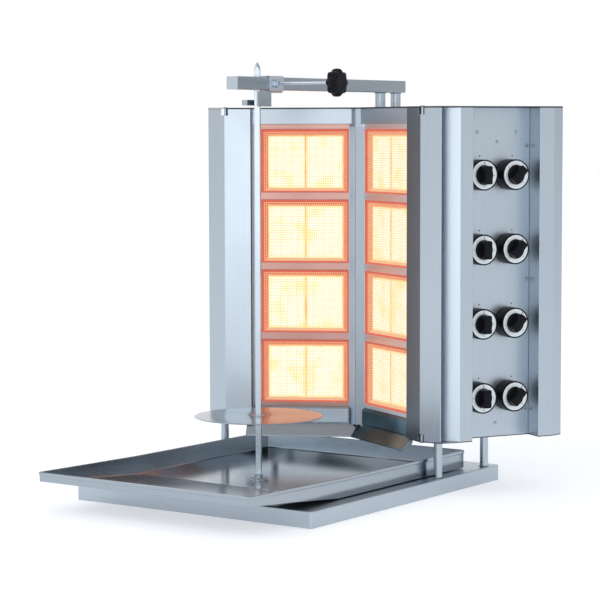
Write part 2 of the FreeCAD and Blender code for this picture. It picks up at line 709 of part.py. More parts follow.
def knob(row, column):
    high = KNOB_FACE
    wide = KNOB_ROUND
    bore = STEM_R + 0.06
    profile = [(bore, 4.2), (wide - 1.4, 4.2), (wide, 5.6), (wide, high), (wide - 2.2, high),
               (wide - 2.2, high - 0.6), (23, high - 0.6), (23, high + 0.4), (22, high + 1.4),
               (0, high + 1.4), (0, 28), (bore, 28)]
    body = face([V(r, 0, z) for r, z in profile]).revolve(V(0, 0, 0), V(0, 0, 1), 360)
    hollow = Part.makeCylinder(wide - 3, 22, V(0, 0, 3)).cut(Part.makeCylinder(12, 22, V(0, 0, 3)))
    body = body.cut(hollow).fuse(knob_grip(high)).removeSplitter()
    turn = -40 if column == 1 else 0
    return on_panel(body, VALVE_T[column], valve_z(row), turn)


os.makedirs("parts", exist_ok=True)
save("base_pan", base_pan())
save("base_bottom", base_bottom())
save("slide_strips", slide_strips())
save("support_posts", support_posts())
save("drip_tray", drip_tray())
save("spit_seat", spit_seat())
save("seat_screws", seat_screws())
save("spit_rod", spit_rod())
save("meat_disc", meat_disc())
save("disc_hub", disc_hub())
save("arm_tube", arm_tube())
save("arm_caps", arm_caps())
save("arm_posts", arm_posts())
save("arm_sleeve", arm_sleeve())
save("spit_fork", spit_fork())
save("clamp_screw", clamp_screw())
save("clamp_knob", clamp_knob())
save("cabinet_top", cabinet_top())
save("cabinet_floor", cabinet_floor())
save("cabinet_back", cabinet_back())
save("end_panel_left", end_panel_left())
save("control_panel", control_panel())
save("guard_front", guard_front())
save("guard_rear", guard_rear())
save("gas_manifold", gas_manifold())
save("gas_valves", gas_valves())
save("gas_pipes", gas_pipes())
save("panel_screws", panel_screws())
save("wing_pins", wing_pins())
for name, side in (("right", 1), ("left", -1)):
    save("bank_frame_" + name, bank_frame(side))
    save("apron_" + name, apron(side))
    save("wing_" + name, wing(side))
    save("burner_cases_" + name, group([burner_case(side, row) for row in range(ROWS)]))
    save("tiles_" + name, tiles(side))
    save("wire_guard_" + name, wire_guard(side))
for column, letter in enumerate("ab"):
    for row in range(ROWS):
        save("stem_%s%d" % (letter, row + 1), valve_stem(row, column))
        save("knob_%s%d" % (letter, row + 1), knob(row, column))
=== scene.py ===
"""Looks of a gas doner grill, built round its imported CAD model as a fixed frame.

Shapes are numpy surfaces in millimetres: a function of two parameters over a
grid. `place` turns them into metres. A bank is measured as in the CAD source:
s runs along it from the inner corner outwards, and t runs into the cabinet."""
import math

import bmesh
import bpy
import numpy as np
from mathutils import Matrix, Vector


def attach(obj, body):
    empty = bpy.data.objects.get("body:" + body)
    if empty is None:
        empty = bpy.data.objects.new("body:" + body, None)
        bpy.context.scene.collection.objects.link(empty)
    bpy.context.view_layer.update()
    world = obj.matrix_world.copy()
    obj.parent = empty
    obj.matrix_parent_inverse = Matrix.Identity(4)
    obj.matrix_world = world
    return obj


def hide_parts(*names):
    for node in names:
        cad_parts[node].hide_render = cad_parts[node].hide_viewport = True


bl_info = {
    "name": "Gas Doner Grill",
    "version": (1, 0, 0),
    "blender": (4, 5, 0),
    "location": "View3D > Sidebar > Grill",
    "description": "Builds the finishes, fine pieces and studio of a gas doner grill",
    "category": "Object",
}

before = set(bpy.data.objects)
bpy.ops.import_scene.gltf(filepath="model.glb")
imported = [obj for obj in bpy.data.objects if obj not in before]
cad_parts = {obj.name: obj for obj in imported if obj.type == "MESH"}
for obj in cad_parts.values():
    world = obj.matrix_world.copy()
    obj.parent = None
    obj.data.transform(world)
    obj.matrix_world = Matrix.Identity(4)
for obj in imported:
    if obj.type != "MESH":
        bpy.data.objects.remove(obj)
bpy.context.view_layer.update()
MM = 0.001

# Burner banks
BANK_ANGLE = math.radians(28.5)
CORNER_Y = 247.5
ROWS = 4
ROW_PITCH = 162.6
GLOW_TOP = 786.5
GLOW_HEIGHT = 123.0
HEADROOM = 20.0
PLATES_START = 30.0
PLATES_WIDTH = 177.0
WEAVE_S = (22.9, 214.1)
WEAVE_T = 21.2
WEAVE_ABOVE = 7.0
WEAVE_BELOW = 4.4
HOT_START = 15.5
HOT_DEPTH = 12.5

# Where painted light and shade change a sheet's colour: depths and distances along a bank, and a
# height in metres
BAND_DEPTH = 13.5
BAND_END = 236.0
STILE_END = 15.6
STILE_TOP = 0.806
WING_INSIDE = 303.2
GUARD_SLANT = 74.2

# Control panel
PANEL_S = 304.0
GUARD_WALL_S = PANEL_S + 10.5
GUARD_WALL_T = 278.5
KNOB_T = {"a": 142.2, "b": 223.4}
KNOB_TOP = 699.5
KNOB_PITCH = 164.0
KNOB_TURN = {"a": 0.0, "b": -40.0}
KNOB_FACE = 33.6
GRIP_START = 34.0
GRIP_ZERO = 33.5
MARK_FACE = 33.38
PANEL_SCREWS = ((142.5, 793.5), (242.5, 793.5), (193.5, 772.5), (268.5, 763.5), (268.5, 466.0),
                (268.5, 171.0), (192.5, 146.5))
GUARD_SCREW_HEIGHTS = (763.0, 466.0, 173.0)
MARK_T = (149.3, 233.3)
MARK_ABOVE = 41

# Spit, guide and posts
SPIT_Y = -131.0
CLAMP_X = 162.0
CLAMP_Y = -84.0
CLAMP_Z = 899.0
POST_X = (-294.0, 294.0)
POST_Y = (135.0, 334.0)
POST_R = 9.5
ARM_POST_Y = (352.0, 418.0)
ARM_POST_R = 12.0
BASE_TOP = 35.0
CABINET_UNDERSIDE = 115.0
FLOOR_PLATE_TOP = 116.6
CABINET_TOP = 850.0
ARM_UNDERSIDE = 885.0

# How far the brushed grain is squeezed on each axis of upright sheet
UPRIGHT = (700.0, 700.0, 9.0)


# Surfaces

def grid_faces(rows, cols, wrap_rows=False, wrap_cols=False):
    """Quads (i, j), (i+1, j), (i+1, j+1), (i, j+1) of a grid. A wrapped side joins last to first."""
    i, j = np.meshgrid(np.arange(rows if wrap_rows else rows - 1),
                       np.arange(cols if wrap_cols else cols - 1), indexing="ij")
    i_next = (i + 1) % rows
    j_next = (j + 1) % cols
    quads = [i * cols + j, i_next * cols + j, i_next * cols + j_next, i * cols + j_next]
    return np.stack(quads, axis=-1).reshape(-1, 4)


def sheet(points, wrap_rows=False, wrap_cols=False):
    """A (rows, cols, 3) grid of points as vertices and quads."""
    rows, cols = points.shape[:2]
    return points.reshape(-1, 3), grid_faces(rows, cols, wrap_rows, wrap_cols)


def lathe(profile, count=48):
    """Profile of (radius, height) turned about Z: x = r cos a, y = r sin a, z = h."""
    profile = np.asarray(profile, float)
    a = np.linspace(0, 2 * np.pi, count, endpoint=False)
    r = profile[:, 0][:, None]
    h = np.broadcast_to(profile[:, 1][:, None], (len(profile), count))
    points = np.stack([r * np.cos(a), r * np.sin(a), h], axis=-1)
    return sheet(points, wrap_cols=True)


def bar(radius, low, high, count):
    """A round bar about Z: the lathe of a rectangle."""
    return lathe([(0, low), (radius, low), (radius, high), (0, high)], count)


def rounded(profile, radius, steps=4):
    """Profile whose inner corners become arcs: each corner p is replaced by points of the quadratic
    curve a(1-u)^2 + 2pu(1-u) + bu^2, where a and b lie radius away from p on its two runs."""
    profile = [np.asarray(p, float) for p in profile]
    out = [profile[0]]
    for before, here, after in zip(profile, profile[1:], profile[2:]):
        back = before - here
        ahead = after - here
        reach = min(radius, 0.45 * np.linalg.norm(back), 0.45 * np.linalg.norm(ahead))
        a = here + back / np.linalg.norm(back) * reach
        b = here + ahead / np.linalg.norm(ahead) * reach
        u = np.linspace(0, 1, steps)[:, None]
        out.extend(a * (1 - u) ** 2 + 2 * here * u * (1 - u) + b * u ** 2)
    out.append(profile[-1])
    return np.array(out)


def moved(part, matrix):
    """Vertices under p' = R p + t, with R and t from a 4x4 matrix in millimetres."""
    verts, faces = part
    m = np.array(matrix)
    return verts @ m[:3, :3].T + m[:3, 3], faces


def joined(parts):
    """Several (vertices, faces) as one, with the face numbers shifted."""
    verts, faces, start = [], [], 0
    for v, f in parts:
        verts.append(v)
        faces.append(f + start)
        start += len(v)
    return np.concatenate(verts), np.concatenate(faces)


def place(name, part, key, body, angle=35.0, merge=True):
    """Makes a part's object from millimetres in one finish, closes its seams and rides it on a body."""
    verts, faces = part
    mesh = bpy.data.meshes.new(name)
    mesh.vertices.add(len(verts))
    mesh.vertices.foreach_set("co", (verts * MM).astype(np.float32).ravel())
    mesh.loops.add(faces.size)
    mesh.loops.foreach_set("vertex_index", faces.astype(np.int32).ravel())
    mesh.polygons.add(len(faces))
    mesh.polygons.foreach_set("loop_start", np.arange(0, faces.size, 4, dtype=np.int32))
    mesh.update(calc_edges=True)
    mesh.validate()
    if merge:
        work = bmesh.new()
        work.from_mesh(mesh)
        bmesh.ops.remove_doubles(work, verts=work.verts, dist=1e-6)
        bmesh.ops.dissolve_degenerate(work, edges=work.edges, dist=1e-7)
        bmesh.ops.recalc_face_normals(work, faces=work.faces)
        work.to_mesh(mesh)
        work.free()
    mesh.polygons.foreach_set("use_smooth", np.ones(len(mesh.polygons), dtype=bool))
    mesh.set_sharp_from_angle(angle=math.radians(angle))
    obj = bpy.data.objects.new(name, mesh)
    bpy.context.scene.collection.objects.link(obj)
    mesh.materials.append(finish(key))
    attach(obj, body)
    return obj


def bank_points(side, s, t, z):
    """Bank place to world: x = side (s cos b + t sin b), y = corner - s sin b + t cos b."""
    s, t, z = np.broadcast_arrays(np.asarray(s, float), np.asarray(t, float), np.asarray(z, float))
    cb, sb = math.cos(BANK_ANGLE), math.sin(BANK_ANGLE)
    return np.stack([side * (s * cb + t * sb), CORNER_Y - s * sb + t * cb, z], axis=-1)


def standing(ways, origin):
    """Matrix from an origin (s, t, z) of the right bank, whose X, Y and Z run along three such ways."""
    matrix = Matrix.Identity(4)
    for k, way in enumerate(ways):
        matrix.col[k] = (*(bank_points(1, *way) - bank_points(1, 0, 0, 0)), 0.0)
    matrix.col[3] = (*bank_points(1, *origin), 1.0)
    return matrix


def on_panel(t, z):
    """Stands local Z out of the control panel, with X along it and Y up."""
    return standing(((0, 1, 0), (0, 0, 1), (1, 0, 0)), (PANEL_S, t, z))


def knob_matrix(letter, row):
    """The place of one tap on the control panel, turned as its knob stands."""
    upright = on_panel(KNOB_T[letter], KNOB_TOP - KNOB_PITCH * row)
    return upright @ Matrix.Rotation(math.radians(KNOB_TURN[letter]), 4, "Z")


# Node helpers

def add(tree, kind, **values):
    """Adds a node; keys that are socket names set sockets, the rest set properties."""
    node = tree.nodes.new(kind)
    for key, value in values.items():
        if key in node.inputs:
            node.inputs[key].default_value = value
        else:
            setattr(node, key, value)
    return node


def calc(tree, operation, *terms, clamp=False):
    """A Math node on one or two numbers or sockets."""
    node = tree.nodes.new("ShaderNodeMath")
    node.operation = operation
    node.use_clamp = clamp
    for socket, value in zip(node.inputs, terms):
        if isinstance(value, (int, float)):
            socket.default_value = value
        else:
            tree.links.new(value, socket)
    return node.outputs[0]


def give(tree, node, **sockets):
    """Links sockets to a node's inputs of those names, with _ for a space."""
    for key, socket in sockets.items():
        tree.links.new(socket, node.inputs[key.replace("_", " ")])


def ramp(tree, factor, stops):
    """A colour ramp with the given (place, colour) stops."""
    node = tree.nodes.new("ShaderNodeValToRGB")
    while len(node.color_ramp.elements) < len(stops):
        node.color_ramp.elements.new(0.5)
    for element, (position, colour) in zip(node.color_ramp.elements, stops):
        element.position = position
        element.color = (*colour, 1.0)
    tree.links.new(factor, node.inputs["Fac"])
    return node.outputs["Color"]


def mix_colour(tree, factor, a, b, share=None, blend="MIX"):
    """Colour a turned towards b by the factor, or by a share of it; each may be a colour, a number or a
    socket."""
    if share is not None:
        factor = calc(tree, "MULTIPLY", factor, share)
    node = add(tree, "ShaderNodeMix", data_type="RGBA", blend_type=blend)
    for key, value in ((0, factor), (6, a), (7, b)):
        if isinstance(value, (int, float)):
            node.inputs[key].default_value = value
        elif isinstance(value, tuple):
            node.inputs[key].default_value = (*value, 1.0)
        else:
            tree.links.new(value, node.inputs[key])
    return node.outputs[2]


def parts_of(tree, vector):
    """X, Y and Z of a vector socket."""
    node = add(tree, "ShaderNodeSeparateXYZ")
    tree.links.new(vector, node.inputs[0])
    return node.outputs


def noise_at(tree, where, **values):
    """The strength of a noise texture at a place."""
    node = add(tree, "ShaderNodeTexNoise", **values)
    tree.links.new(where, node.inputs["Vector"])
    return node.outputs["Fac"]


def bump(tree, shader, height, normal=None, **values):
    """Bumps a shader by a height, over the rounded normal where one is given."""
    node = add(tree, "ShaderNodeBump", **values)
    give(tree, node, Height=height)
    if normal is not None:
        give(tree, node, Normal=normal)
    give(tree, shader, Normal=node.outputs["Normal"])


def scaled(colour, factor):
    """A colour's numbers times a factor, up to 1."""
    return tuple(min(1.0, c * factor) for c in colour)


def new_group(name, inputs, outputs):
    """An empty shader group with the given (kind, label, value) inputs and (kind, label) outputs."""
    tree = bpy.data.node_groups.new(name, "ShaderNodeTree")
    for kind, label, value in inputs:
        socket = tree.interface.new_socket(label, in_out="INPUT", socket_type=kind)
        if value is not None:
            socket.default_value = value
    for kind, label in outputs:
        tree.interface.new_socket(label, in_out="OUTPUT", socket_type=kind)
    return tree, tree.nodes.new("NodeGroupInput"), tree.nodes.new("NodeGroupOutput")


def use(tree, name, make, where=None, **values):
    """Places a node group, which is built once, with its own coordinates and values."""
    node = tree.nodes.new("ShaderNodeGroup")
    node.node_tree = bpy.data.node_groups.get(name) or make(name)
    if where is not None:
        tree.links.new(where, node.inputs["Place"])
    for key, value in values.items():
        node.inputs[key].default_value = value
    return node


def new_material(name):
    """A material with its tree, its Principled shader and its Object coordinates."""
    material = bpy.data.materials.new(name)
    material.use_nodes = True
    tree = material.node_tree
    where = add(tree, "ShaderNodeTexCoord").outputs["Object"]
    return material, tree, tree.nodes["Principled BSDF"], where


def brushed_group(name):
    """Brushed grain: noise stretched along one way, and a slow cloud for handling marks."""
    tree, inp, out = new_group(
        name,
        [("NodeSocketVector", "Place", None), ("NodeSocketVector", "Stretch", UPRIGHT),
         ("NodeSocketFloat", "Cloud Scale", 7.0)],
        [("NodeSocketFloat", "Grain"), ("NodeSocketFloat", "Cloud")])
    scale = add(tree, "ShaderNodeVectorMath", operation="MULTIPLY")
    tree.links.new(inp.outputs["Place"], scale.inputs[0])
    tree.links.new(inp.outputs["Stretch"], scale.inputs[1])
    grain = noise_at(tree, scale.outputs[0], Scale=1.0, Detail=3.0, Roughness=0.65)
    cloud = add(tree, "ShaderNodeTexNoise", Detail=2.0, Roughness=0.5)
    give(tree, cloud, Vector=inp.outputs["Place"], Scale=inp.outputs["Cloud Scale"])
    give(tree, out, Grain=grain, Cloud=cloud.outputs["Fac"])
    return tree


def edge_highlight_group(name):
    """Edges lightened by rubbing and by a painted highlight: how far the normal of a rounded edge leans
    from the flat normal.
    """
    tree, inp, out = new_group(
        name,
        [("NodeSocketFloat", "Radius", 0.0012), ("NodeSocketFloat", "Strength", 3.0)],
        [("NodeSocketFloat", "Mask"), ("NodeSocketVector", "Normal")])
    bevel = add(tree, "ShaderNodeBevel", samples=4)
    give(tree, bevel, Radius=inp.outputs["Radius"])
    flat = add(tree, "ShaderNodeNewGeometry")
    dot = add(tree, "ShaderNodeVectorMath", operation="DOT_PRODUCT")
    tree.links.new(bevel.outputs["Normal"], dot.inputs[0])
    tree.links.new(flat.outputs["Normal"], dot.inputs[1])
    lean = calc(tree, "SUBTRACT", 1.0, dot.outputs["Value"], clamp=True)
    mask = calc(tree, "MULTIPLY", lean, inp.outputs["Strength"], clamp=True)
    give(tree, out, Mask=mask, Normal=bevel.outputs["Normal"])
    return tree


def bank_group(name):
    """Bank measures in millimetres: Along is s, Depth is t, and Drop is how far below its row's top a
    point lies, from the headroom above it."""
    tree, inp, out = new_group(
        name, [("NodeSocketVector", "Place", None)],
        [("NodeSocketFloat", "Along"), ("NodeSocketFloat", "Depth"), ("NodeSocketFloat", "Drop")])
    split = parts_of(tree, inp.outputs["Place"])
    x = calc(tree, "MULTIPLY", calc(tree, "ABSOLUTE", split["X"]), 1000.0)
    y = calc(tree, "SUBTRACT", calc(tree, "MULTIPLY", split["Y"], 1000.0), CORNER_Y)
    z = calc(tree, "MULTIPLY", split["Z"], 1000.0)
    cb, sb = math.cos(BANK_ANGLE), math.sin(BANK_ANGLE)
    along = calc(tree, "SUBTRACT", calc(tree, "MULTIPLY", x, cb), calc(tree, "MULTIPLY", y, sb))
    depth = calc(tree, "ADD", calc(tree, "MULTIPLY", x, sb), calc(tree, "MULTIPLY", y, cb))
    down = calc(tree, "SUBTRACT", GLOW_TOP + HEADROOM, z)
    drop = calc(tree, "SUBTRACT", calc(tree, "FLOORED_MODULO", down, ROW_PITCH), HEADROOM)
    give(tree, out, Along=along, Depth=depth, Drop=drop)
    return tree


def seam_shade_group(name):
    """Dark joint lines and the painted shade of their gaps: upright faces within a millimetre or two of
    the cabinet's top and floor plates.
    """
    tree, inp, out = new_group(
        name,
        [("NodeSocketVector", "Place", None), ("NodeSocketFloat", "Top", 0.8464),
         ("NodeSocketFloat", "Bottom", 0.1172)],
        [("NodeSocketFloat", "Mask")])
    height = parts_of(tree, inp.outputs["Place"])["Z"]
    above = calc(tree, "GREATER_THAN", height, inp.outputs["Top"])
    below = calc(tree, "LESS_THAN", height, inp.outputs["Bottom"])
    slope = parts_of(tree, add(tree, "ShaderNodeNewGeometry").outputs["Normal"])["Z"]
    upright = calc(tree, "LESS_THAN", calc(tree, "ABSOLUTE", slope), 0.5)
    near = calc(tree, "MAXIMUM", above, below)
    give(tree, out, Mask=calc(tree, "MULTIPLY", near, upright))
    return tree


# Finishes

def steel(name, colour, stretch=UPRIGHT, rough=0.34, grain=0.12, seam=False, soot=None, facet=None,
          bands=None):
    """Brushed sheet: streaked grain in colour, roughness and bump, and edges lightened by rubbing and by a
    painted highlight. Soot colours its stains. A facet is (bank measure, limit, colour): faces whose
    measure lies under the limit have that colour, a painted light or shade. Bands are a bank's painted warm
    light of the burners' glow between them and painted light and shade on its matt stile. Joints at the
    top and floor plates are darkened with painted shade of their gaps."""
    material, tree, shader, where = new_material(name)
    brushed = use(tree, "Brushed grain", brushed_group, where, Stretch=stretch)
    streak, cloud = brushed.outputs["Grain"], brushed.outputs["Cloud"]
    edge = use(tree, "Edge wear", edge_highlight_group, Radius=0.0018)
    wander = calc(tree, "ADD", calc(tree, "MULTIPLY", streak, 0.5), calc(tree, "MULTIPLY", cloud, 0.5))
    uneven = calc(tree, "ADD", calc(tree, "MULTIPLY", wander, 0.16), rough - 0.08)
    base = ramp(tree, streak, [(0.25, scaled(colour, 0.93)), (0.75, scaled(colour, 1.06))])
    base = mix_colour(tree, cloud, base, scaled(colour, 0.92), share=0.5)
    if soot:
        shader.inputs["Specular Tint"].default_value = (0.5, 0.62, 0.7, 1.0)
        stained = ramp(tree, cloud, [(0.42, (0.0, 0.0, 0.0)), (0.62, (1.0, 1.0, 1.0))])
        base = mix_colour(tree, stained, base, soot, share=0.8)
    if facet or bands:
        measures = use(tree, "Bank measures", bank_group, where)
    if facet:
        # Painted light or shade: one facet of the sheet takes a lighter or darker colour
        label, limit, other = facet
        base = mix_colour(tree, calc(tree, "LESS_THAN", measures.outputs[label], limit), base, other)
    # Painted warm light of the burners' glow between them, and painted light and shade on the matt stile
    if bands:
        warm, stile = bands
        deep = calc(tree, "GREATER_THAN", measures.outputs["Depth"], BAND_DEPTH)
        near = calc(tree, "MULTIPLY", deep, calc(tree, "LESS_THAN", measures.outputs["Along"], BAND_END))
        base = mix_colour(tree, near, base, warm, share=0.75)
        low = calc(tree, "LESS_THAN", parts_of(tree, where)["Z"], STILE_TOP)
        corner = calc(tree, "MULTIPLY", calc(tree, "LESS_THAN", measures.outputs["Along"], STILE_END), low)
        base = mix_colour(tree, corner, base, stile)
        uneven = calc(tree, "ADD", uneven, calc(tree, "MULTIPLY", corner, 0.26))
    # Edges lightened by rubbing and by a painted highlight along the folds
    base = mix_colour(tree, edge.outputs["Mask"], base, scaled(colour, 1.5), share=0.6)
    # Painted shade of the gaps at the top and floor plates, darkening the joints there
    if seam:
        seams = use(tree, "Sheet seams", seam_shade_group, where)
        base = mix_colour(tree, seams.outputs["Mask"], base, scaled(colour, 0.12), share=0.9)
    give(tree, shader, Base_Color=base, Roughness=uneven)
    bump(tree, shader, streak, edge.outputs["Normal"], Strength=grain, Distance=0.0004)
    shader.inputs["Metallic"].default_value = 1.0
    return material


def plain(name, colour, rough, metallic=0.0, speckle=60.0, strength=0.05, shine=0.5, wear=1.9):
    """Moulded plastic, print or cast metal: a fine speckle in colour, roughness and bump. The edge
    lightening, wear, is how much lighter its edges are: rubbing, and on the black knobs
    chiefly a painted highlight."""
    material, tree, shader, where = new_material(name)
    speck = noise_at(tree, where, Scale=speckle * 10.0, Detail=2.0)
    edge = use(tree, "Edge wear", edge_highlight_group, Radius=0.0006)
    base = ramp(tree, speck, [(0.3, scaled(colour, 0.9)), (0.7, scaled(colour, 1.12))])
    # Edges lightened by rubbing, and on the black knobs chiefly by a painted highlight
    base = mix_colour(tree, edge.outputs["Mask"], base, scaled(colour, wear), share=0.35)
    uneven = calc(tree, "ADD", calc(tree, "MULTIPLY", speck, 0.12), rough - 0.06)
    give(tree, shader, Base_Color=base, Roughness=uneven)
    bump(tree, shader, speck, edge.outputs["Normal"], Strength=strength, Distance=0.0003)
    shader.inputs["Metallic"].default_value = metallic
    shader.inputs["Specular IOR Level"].default_value = shine
    return material


def plate_margin(tree, s, drop):
    """How far inside the nearest border of its plate a point lies; two plates share a burner's width."""
    inner = calc(tree, "MINIMUM", s, calc(tree, "SUBTRACT", PLATES_WIDTH, s))
    joint = calc(tree, "ABSOLUTE", calc(tree, "SUBTRACT", s, PLATES_WIDTH / 2))
    level = calc(tree, "MINIMUM", drop, calc(tree, "SUBTRACT", GLOW_HEIGHT, drop))
    return calc(tree, "MINIMUM", calc(tree, "MINIMUM", inner, joint), level)


def plate_holes(tree, s, drop):
    """Fine holes 1.3 mm apart: 1 where the squares of both offsets from the web's middle pass 0.52."""
    away = []
    for measure in (s, drop):
        offset = calc(tree, "SUBTRACT", calc(tree, "PINGPONG", measure, 1.3), 0.65)
        away.append(calc(tree, "MULTIPLY", offset, offset))
    return calc(tree, "GREATER_THAN", calc(tree, "ADD", *away), 0.52)


def glowing_ceramic(name, colour, rim, lent, strength):
    """Perforated radiant plate: cream in the middle, orange at its very border, yellower in patches and
    pricked with holes. Seen straight it is too bright to show its own orange, which the sheet mirrors."""
    material, tree, shader, where = new_material(name)
    bank = use(tree, "Bank measures", bank_group, where)
    s = calc(tree, "SUBTRACT", bank.outputs["Along"], PLATES_START)
    drop = bank.outputs["Drop"]
    margin = plate_margin(tree, s, drop)
    patch = noise_at(tree, where, Scale=22.0, Detail=2.0)
    wobble = calc(tree, "MULTIPLY", calc(tree, "SUBTRACT", patch, 0.5), 5.0)
    reach = calc(tree, "DIVIDE", calc(tree, "ADD", margin, wobble), 11.0, clamp=True)
    heat = ramp(tree, reach, [(0.0, rim), (0.14, (1.0, 0.66, 0.3)), (0.3, (1.0, 0.9, 0.6)), (0.7, colour)])
    cooler = ramp(tree, patch, [(0.5, (1.0, 1.0, 1.0)), (0.68, (1.0, 0.9, 0.6))])
    warmed = mix_colour(tree, 1.0, heat, cooler, blend="MULTIPLY")
    hole = plate_holes(tree, s, drop)
    pricked = mix_colour(tree, hole, warmed, (0.95, 0.6, 0.25), share=0.3)
    mirrored = add(tree, "ShaderNodeLightPath").outputs["Is Glossy Ray"]
    clay = ramp(tree, patch, [(0.3, (0.2, 0.15, 0.1)), (0.7, (0.14, 0.1, 0.07))])
    give(tree, shader, Base_Color=clay, Emission_Color=mix_colour(tree, mirrored, pricked, lent))
    bump(tree, shader, hole, Strength=0.4, Distance=0.0006, invert=True)
    shader.inputs["Emission Strength"].default_value = strength
    shader.inputs["Roughness"].default_value = 0.9
    shader.inputs["Specular IOR Level"].default_value = 0.1
    return material


def glowing_metal(name, cool, hot, strength, lit=None):
    """Steel that glows: dull at the front, full half way down and darkened in the crease by the plates as
    painted shade. Where it lies under a plate it also carries the plate's own light, painted in as a pool
    of light."""
    material, tree, shader, where = new_material(name)
    bank = use(tree, "Bank measures", bank_group, where)
    stain = noise_at(tree, where, Scale=35.0, Detail=3.0)
    inwards = calc(tree, "SUBTRACT", bank.outputs["Depth"], HOT_START)
    depth = calc(tree, "DIVIDE", inwards, HOT_DEPTH, clamp=True)
    # The glow fades towards the front, and its last stop darkens the crease by the plates as painted shade
    tint = ramp(tree, depth, [(0.0, scaled(hot, 0.6)), (0.3, scaled(hot, 0.9)), (0.88, hot),
                              (0.97, scaled(hot, 0.35))])
    if lit:
        # The plates' light painted as a pool on the upward slopes near the plates
        slope = parts_of(tree, add(tree, "ShaderNodeNewGeometry").outputs["Normal"])["Z"]
        upward = calc(tree, "GREATER_THAN", slope, 0.3)
        near = calc(tree, "GREATER_THAN", depth, 0.5)
        tint = mix_colour(tree, calc(tree, "MULTIPLY", upward, near), tint, lit)
    uneven = mix_colour(tree, stain, tint, scaled(hot, 0.7), share=0.35)
    base = ramp(tree, stain, [(0.3, scaled(cool, 0.8)), (0.7, scaled(cool, 1.15))])
    matt = calc(tree, "ADD", calc(tree, "MULTIPLY", stain, 0.2), 0.45)
    give(tree, shader, Base_Color=base, Emission_Color=uneven, Roughness=matt)
    shader.inputs["Specular IOR Level"].default_value = 0.15
    shader.inputs["Emission Strength"].default_value = strength
    return material


def finishes(look):
    """Each finish's maker and what it is told, from the colours in the panel."""
    base = tuple(look.steel)

    def sheet_steel(shade=1.0, **how):
        return steel, dict(colour=scaled(base, shade), **how)

    return {
        "cabinet steel": sheet_steel(seam=True),
        "left wing steel": sheet_steel(rough=0.32, seam=True),
        # The right wing's inner arm is darkened as painted shade
        "right wing steel": sheet_steel(rough=0.26, seam=True,
                                        facet=("Along", WING_INSIDE, scaled(base, 0.31))),
        # The guard's slanted facet is lightened as painted light
        "guard steel": sheet_steel(seam=True, facet=("Depth", GUARD_SLANT, scaled(base, 1.36))),
        # The left bank frame is a darker copy of the right bank's steel: painted shade
        "left bank steel": sheet_steel(0.82, rough=0.3, seam=True,
                                       bands=(tuple(look.glow_lit_steel), (0.5, 0.66, 0.79))),
        # Both banks' bands are painted light: the burners' glow between them and the stiles' light and
        # shade
        "right bank steel": sheet_steel(rough=0.3, seam=True, bands=((0.98, 0.9, 0.9), scaled(base, 0.97))),
        "apron steel": sheet_steel(0.82, stretch=(9.0, 9.0, 300.0), rough=0.24),
        # The right apron is a darker copy of the left apron's steel as painted shade, with dark cloudy
        # stains
        "scorched steel": (steel, dict(colour=(0.23, 0.33, 0.39), stretch=(9.0, 9.0, 260.0), rough=0.3,
                                       soot=(0.05, 0.065, 0.075))),
        "base steel": sheet_steel(stretch=(9.0, 700.0, 700.0)),
        "tray steel": sheet_steel(0.78, stretch=(600.0, 10.0, 600.0), rough=0.15, grain=0.05),
        "bright steel": sheet_steel(0.94, stretch=(600.0, 600.0, 40.0), rough=0.26, grain=0.06),
        "polished steel": sheet_steel(1.18, stretch=(300.0, 300.0, 60.0), rough=0.24, grain=0.04),
        "arm steel": sheet_steel(0.78, stretch=(600.0, 14.0, 600.0), rough=0.33, grain=0.1),
        "mirror plate": sheet_steel(0.82, stretch=(60.0, 60.0, 60.0), rough=0.18, grain=0.02),
        # Knob edges lightened fivefold: chiefly a painted highlight
        "knob plastic": (plain, dict(colour=tuple(look.black), rough=0.36, shine=0.12, wear=5.0)),
        "dial print": (plain, dict(colour=tuple(look.dial), rough=0.5, metallic=0.6, strength=0.02,
                                   wear=1.1)),
        "dial marks": (plain, dict(colour=(0.02, 0.022, 0.028), rough=0.5)),
        "slide plastic": (plain, dict(colour=(0.62, 0.62, 0.6), rough=0.5)),
        "gas brass": (plain, dict(colour=(0.55, 0.4, 0.16), rough=0.35, metallic=1.0)),
        "weld": (plain, dict(colour=scaled(base, 0.77), rough=0.42, metallic=1.0, speckle=30.0,
                             strength=0.4)),
        # The hoppers' glow is partly red heat and partly the plates' light on the sheet, painted as
        # emission
        "hopper steel": (glowing_metal, dict(cool=(0.4, 0.09, 0.05), hot=tuple(look.red_heat_and_plate_light),
                                         strength=look.hopper_glow, lit=(1.0, 0.75, 0.5))),
        "hot wire": (glowing_metal, dict(cool=(0.3, 0.13, 0.07), hot=tuple(look.wire_heat),
                                     strength=look.wire_glow)),
        "glowing ceramic": (glowing_ceramic, dict(colour=tuple(look.glow), rim=tuple(look.glow_rim),
                                                  lent=tuple(look.glow_lent),
                                                  strength=look.glow_strength)),
    }


def finish(key):
    """The finish of that name, made once."""
    made = bpy.data.materials.get(key)
    if made:
        return made
    make, settings = finishes(bpy.context.scene.grill_looks)[key]
    return make(key, **settings)


